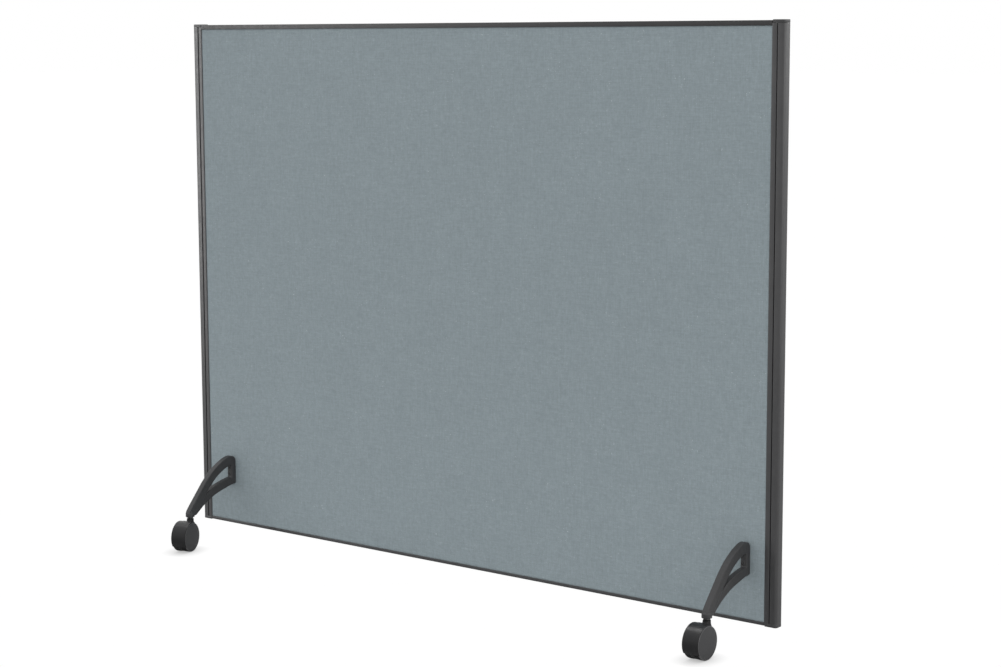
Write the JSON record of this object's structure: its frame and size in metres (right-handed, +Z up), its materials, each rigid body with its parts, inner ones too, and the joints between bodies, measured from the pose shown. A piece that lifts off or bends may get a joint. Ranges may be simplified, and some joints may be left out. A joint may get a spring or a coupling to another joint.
{
  "type": "partition wall",
  "caption": "Free-standing mobile partition wall: a fabric-covered panel in a slim metal frame, on curved open arms with swivelling twin-wheel castors.",
  "frame": {"origin": "on the floor, under the middle of the panel", "axes": "+X along the panel towards its right-hand end, -Y out of the front face, +Z up"},
  "size_m": [1.65, 0.4444, 1.25],
  "materials": {
    "charcoal_powder_coat": "satin powder coat",
    "charcoal_end_trim": "satin powder coat",
    "black_moulded_cap": "fine satin moulding",
    "blue_grey_fabric": "plain-weave polyester",
    "paper_honeycomb": "kraft paper, unfinished",
    "pinboard_skin": "softboard, unfinished",
    "plywood_block": "unfinished plywood",
    "zinc_steel": "zinc plated",
    "black_steel": "black oxide",
    "black_cast_arm": "satin black powder coat on a die casting",
    "black_nylon": "moulded nylon",
    "dark_wheel": "moulded nylon disc with a soft grey tread"
  },
  "bodies": {
    "screen": {"post_left": "charcoal_powder_coat", "post_right": "charcoal_powder_coat", "top_rail": "charcoal_powder_coat", "bottom_rail": "charcoal_powder_coat", "end_trim_left": "charcoal_end_trim", "end_trim_right": "charcoal_end_trim", "post_cap_top_left": "black_moulded_cap", "corner_bracket_top_left": "zinc_steel", "post_cap_top_right": "black_moulded_cap", "corner_bracket_top_right": "zinc_steel", "post_cap_bottom_left": "black_moulded_cap", "corner_bracket_bottom_left": "zinc_steel", "post_cap_bottom_right": "black_moulded_cap", "corner_bracket_bottom_right": "zinc_steel", "fabric_front": "blue_grey_fabric", "fabric_back": "blue_grey_fabric", "honeycomb_core": "paper_honeycomb", "pinboard_skin_front": "pinboard_skin", "pinboard_skin_back": "pinboard_skin", "fixing_block_left": "plywood_block", "fixing_block_right": "plywood_block", "arm_front_left": "black_cast_arm", "arm_screw_lower_front_left": "black_steel", "arm_screw_upper_front_left": "black_steel", "castor_stem_front_left": "zinc_steel", "arm_front_right": "black_cast_arm", "arm_screw_lower_front_right": "black_steel", "arm_screw_upper_front_right": "black_steel", "castor_stem_front_right": "zinc_steel", "arm_rear_left": "black_cast_arm", "arm_screw_lower_rear_left": "black_steel", "arm_screw_upper_rear_left": "black_steel", "castor_stem_rear_left": "zinc_steel", "arm_rear_right": "black_cast_arm", "arm_screw_lower_rear_right": "black_steel", "arm_screw_upper_rear_right": "black_steel", "castor_stem_rear_right": "zinc_steel"},
    "castor_front_left": {"castor_body_front_left": "black_nylon", "castor_axle_front_left": "zinc_steel"},
    "wheel_a_front_left": {"castor_wheel_a_front_left": "dark_wheel"},
    "wheel_b_front_left": {"castor_wheel_b_front_left": "dark_wheel"},
    "castor_front_right": {"castor_body_front_right": "black_nylon", "castor_axle_front_right": "zinc_steel"},
    "wheel_a_front_right": {"castor_wheel_a_front_right": "dark_wheel"},
    "wheel_b_front_right": {"castor_wheel_b_front_right": "dark_wheel"},
    "castor_rear_left": {"castor_body_rear_left": "black_nylon", "castor_axle_rear_left": "zinc_steel"},
    "wheel_a_rear_left": {"castor_wheel_a_rear_left": "dark_wheel"},
    "wheel_b_rear_left": {"castor_wheel_b_rear_left": "dark_wheel"},
    "castor_rear_right": {"castor_body_rear_right": "black_nylon", "castor_axle_rear_right": "zinc_steel"},
    "wheel_a_rear_right": {"castor_wheel_a_rear_right": "dark_wheel"},
    "wheel_b_rear_right": {"castor_wheel_b_rear_right": "dark_wheel"}
  },
  "joints": [
    {"name": "swivel_front_left", "type": "hinge", "parent": "screen", "child": "castor_front_left", "pos_m": [-0.718, -0.1585, 0.0765], "axis": [0, 0, 1], "continuous": true},
    {"name": "spin_a_front_left", "type": "hinge", "parent": "castor_front_left", "child": "wheel_a_front_left", "pos_m": [-0.71098, -0.18145, 0.035], "axis": [0.9563, 0.2924, 0], "continuous": true},
    {"name": "spin_b_front_left", "type": "hinge", "parent": "castor_front_left", "child": "wheel_b_front_left", "pos_m": [-0.71098, -0.18145, 0.035], "axis": [0.9563, 0.2924, 0], "continuous": true},
    {"name": "swivel_front_right", "type": "hinge", "parent": "screen", "child": "castor_front_right", "pos_m": [0.754, -0.1585, 0.0765], "axis": [0, 0, 1], "continuous": true},
    {"name": "spin_a_front_right", "type": "hinge", "parent": "castor_front_right", "child": "wheel_a_front_right", "pos_m": [0.754, -0.1825, 0.035], "axis": [1, 0, 0], "continuous": true},
    {"name": "spin_b_front_right", "type": "hinge", "parent": "castor_front_right", "child": "wheel_b_front_right", "pos_m": [0.754, -0.1825, 0.035], "axis": [1, 0, 0], "continuous": true},
    {"name": "swivel_rear_left", "type": "hinge", "parent": "screen", "child": "castor_rear_left", "pos_m": [-0.618, 0.1585, 0.0765], "axis": [0, 0, 1], "continuous": true},
    {"name": "spin_a_rear_left", "type": "hinge", "parent": "castor_rear_left", "child": "wheel_a_rear_left", "pos_m": [-0.618, 0.1825, 0.035], "axis": [1, 0, 0], "continuous": true},
    {"name": "spin_b_rear_left", "type": "hinge", "parent": "castor_rear_left", "child": "wheel_b_rear_left", "pos_m": [-0.618, 0.1825, 0.035], "axis": [1, 0, 0], "continuous": true},
    {"name": "swivel_rear_right", "type": "hinge", "parent": "screen", "child": "castor_rear_right", "pos_m": [0.654, 0.1585, 0.0765], "axis": [0, 0, 1], "continuous": true},
    {"name": "spin_a_rear_right", "type": "hinge", "parent": "castor_rear_right", "child": "wheel_a_rear_right", "pos_m": [0.64698, 0.18145, 0.035], "axis": [0.9563, 0.2924, 0], "continuous": true},
    {"name": "spin_b_rear_right", "type": "hinge", "parent": "castor_rear_right", "child": "wheel_b_rear_right", "pos_m": [0.64698, 0.18145, 0.035], "axis": [0.9563, 0.2924, 0], "continuous": true}
  ]
}
